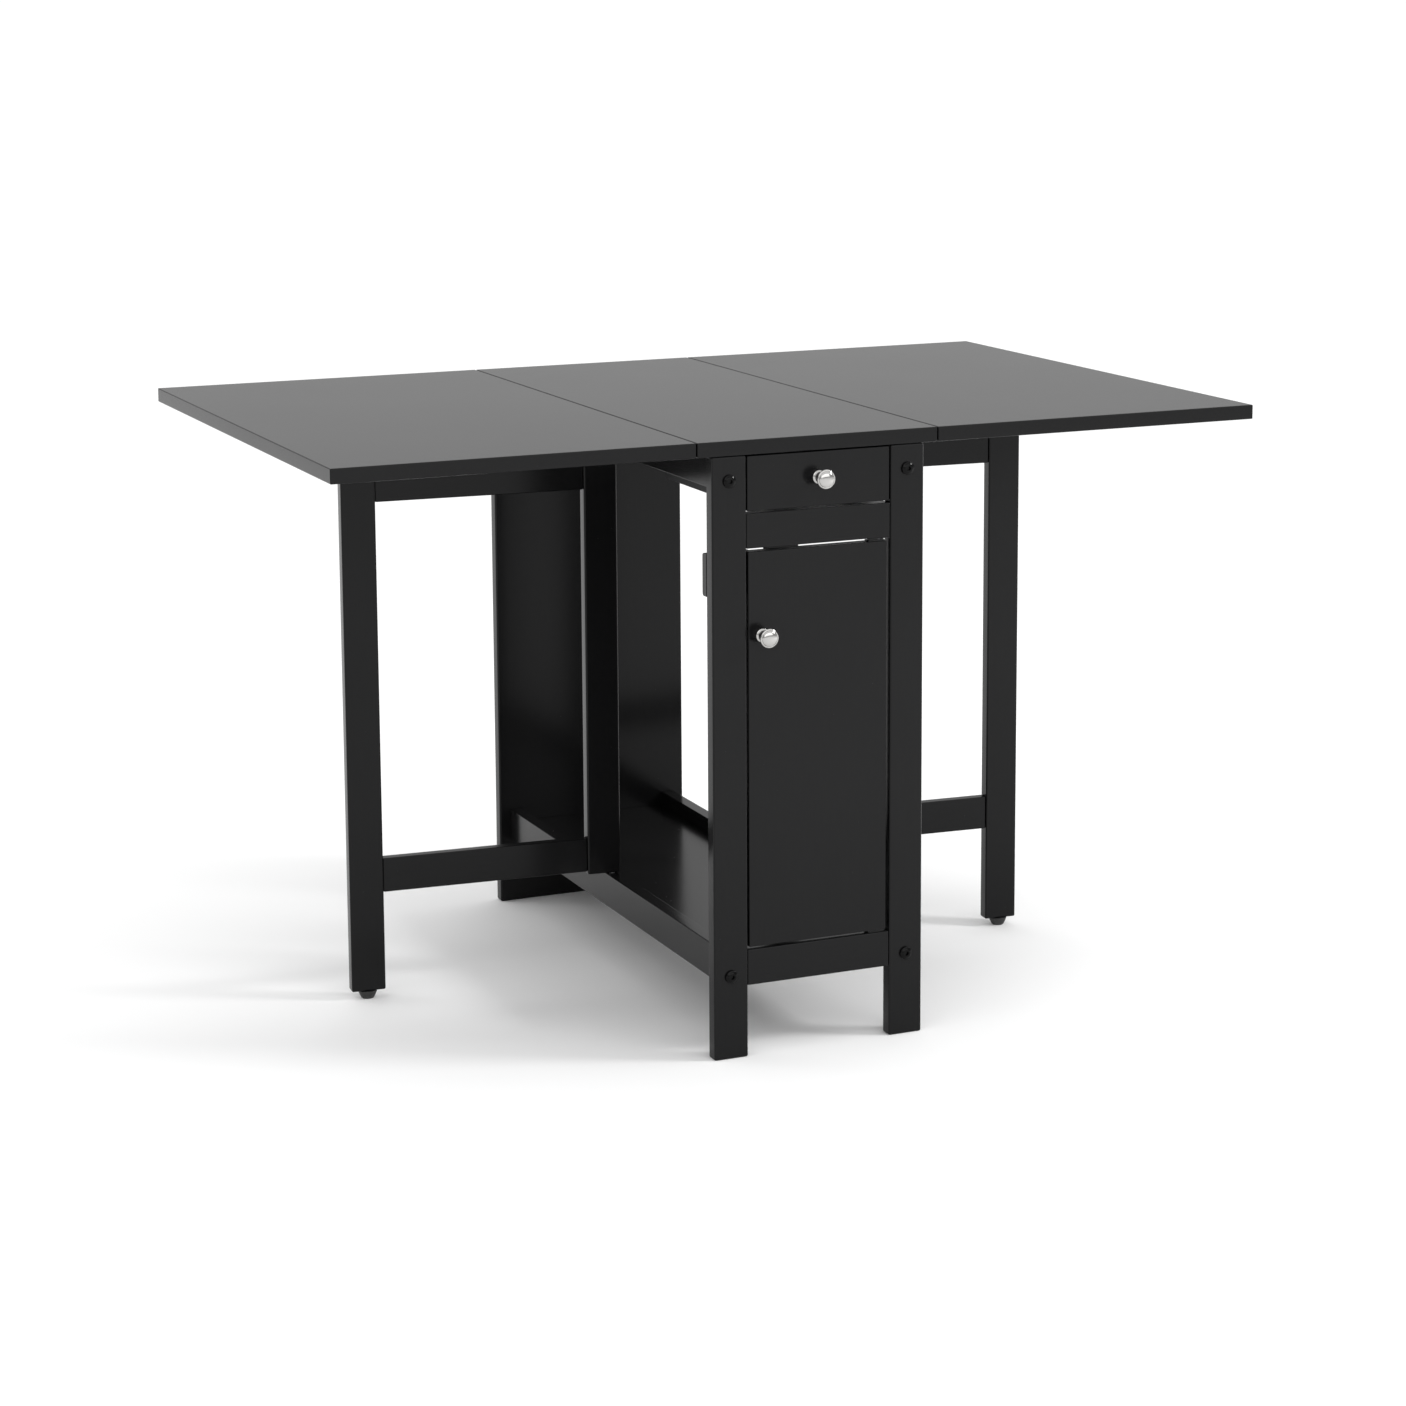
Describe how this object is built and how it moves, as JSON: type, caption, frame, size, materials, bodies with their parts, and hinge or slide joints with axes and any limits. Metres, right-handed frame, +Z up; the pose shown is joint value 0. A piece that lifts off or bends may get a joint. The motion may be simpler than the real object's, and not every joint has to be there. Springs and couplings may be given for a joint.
{
  "type": "gateleg table",
  "caption": "Drop-leaf dining table on a narrow cabinet with a drawer and a door; two hinged leaves rest on gates that swing out from its sides.",
  "frame": {"origin": "on the floor, below the middle of the outer box; the box runs from the knobs in front to the bolt heads behind", "axes": "+X from the left leaf to the right leaf, +Y from the drawer end to the panel end, +Z up"},
  "size_m": [1.2, 0.7896, 0.75],
  "materials": {
    "black_lacquer": "satin black lacquer over fibreboard and solid wood",
    "inner_lacquer": "thinner matt black lacquer inside the drawer",
    "brushed_nickel": "brushed nickel",
    "black_bolts": "glossy black zinc",
    "black_hinges": "black lacquered steel",
    "zinc_steel": "bright zinc",
    "glide_plastic": "moulded black plastic"
  },
  "bodies": {
    "frame": {"centre_top": "black_lacquer", "front_post_left": "black_lacquer", "front_post_right": "black_lacquer", "end_panel": "black_lacquer", "apron_left": "black_lacquer", "apron_right": "black_lacquer", "side_rail_left": "black_lacquer", "side_rail_right": "black_lacquer", "front_rail_lower": "black_lacquer", "front_rail_upper": "black_lacquer", "bottom_shelf": "black_lacquer", "drawer_runner_left": "inner_lacquer", "drawer_runner_right": "inner_lacquer", "door_catch_block": "black_lacquer", "catch_magnet": "zinc_steel", "door_pivot_top": "black_hinges", "door_pivot_bottom": "black_hinges", "hinge_fixed_left_near": "black_hinges", "hinge_fixed_left_far": "black_hinges", "hinge_fixed_right_near": "black_hinges", "hinge_fixed_right_far": "black_hinges", "bolt_lower_left_near": "black_bolts", "bolt_lower_left_far": "black_bolts", "bolt_lower_right_near": "black_bolts", "bolt_lower_right_far": "black_bolts", "bolt_upper_left_near": "black_bolts", "bolt_upper_left_far": "black_bolts", "bolt_upper_right_near": "black_bolts", "bolt_upper_right_far": "black_bolts"},
    "drawer": {"drawer_front": "black_lacquer", "drawer_side_left": "inner_lacquer", "drawer_side_right": "inner_lacquer", "drawer_back": "inner_lacquer", "drawer_bottom": "inner_lacquer", "drawer_knob": "brushed_nickel"},
    "door": {"door_panel": "black_lacquer", "door_strike": "zinc_steel", "door_plate_top": "black_hinges", "door_plate_bottom": "black_hinges", "door_knob": "brushed_nickel"},
    "leaf_left": {"leaf_left": "black_lacquer", "hinge_moving_left_near": "black_hinges", "hinge_moving_left_far": "black_hinges"},
    "gate_left": {"gate_inner_post_left": "black_lacquer", "gate_leg_left": "black_lacquer", "gate_rail_lower_left": "black_lacquer", "gate_rail_upper_left": "black_lacquer", "gate_pin_lower_left": "zinc_steel", "gate_pin_upper_left": "zinc_steel", "gate_glide_left": "glide_plastic"},
    "leaf_right": {"leaf_right": "black_lacquer", "hinge_moving_right_near": "black_hinges", "hinge_moving_right_far": "black_hinges"},
    "gate_right": {"gate_inner_post_right": "black_lacquer", "gate_leg_right": "black_lacquer", "gate_rail_lower_right": "black_lacquer", "gate_rail_upper_right": "black_lacquer", "gate_pin_lower_right": "zinc_steel", "gate_pin_upper_right": "zinc_steel", "gate_glide_right": "glide_plastic"}
  },
  "joints": [
    {"name": "drawer_slide", "type": "slide", "parent": "frame", "child": "drawer", "axis": [0, -1, 0], "range_m": [0, 0.18]},
    {"name": "door_swing", "type": "hinge", "parent": "frame", "child": "door", "pos_m": [0.083, -0.3625, 0.376], "axis": [0, 0, 1], "range_deg": [0, 100]},
    {"name": "leaf_left_lift", "type": "hinge", "parent": "frame", "child": "leaf_left", "pos_m": [-0.15725, 0.0095, 0.7289], "axis": [0, 1, 0], "range_deg": [0, 3]},
    {"name": "leaf_right_lift", "type": "hinge", "parent": "frame", "child": "leaf_right", "pos_m": [0.15725, 0.0095, 0.7289], "axis": [0, -1, 0], "range_deg": [0, 3]},
    {"name": "gate_left_swing", "type": "hinge", "parent": "frame", "child": "gate_left", "pos_m": [-0.1145, 0.0145, 0.41], "axis": [0, 0, 1], "range_deg": [0, 90.5]},
    {"name": "gate_right_swing", "type": "hinge", "parent": "frame", "child": "gate_right", "pos_m": [0.1145, 0.0145, 0.41], "axis": [0, 0, 1], "range_deg": [0, 90.5]}
  ]
}
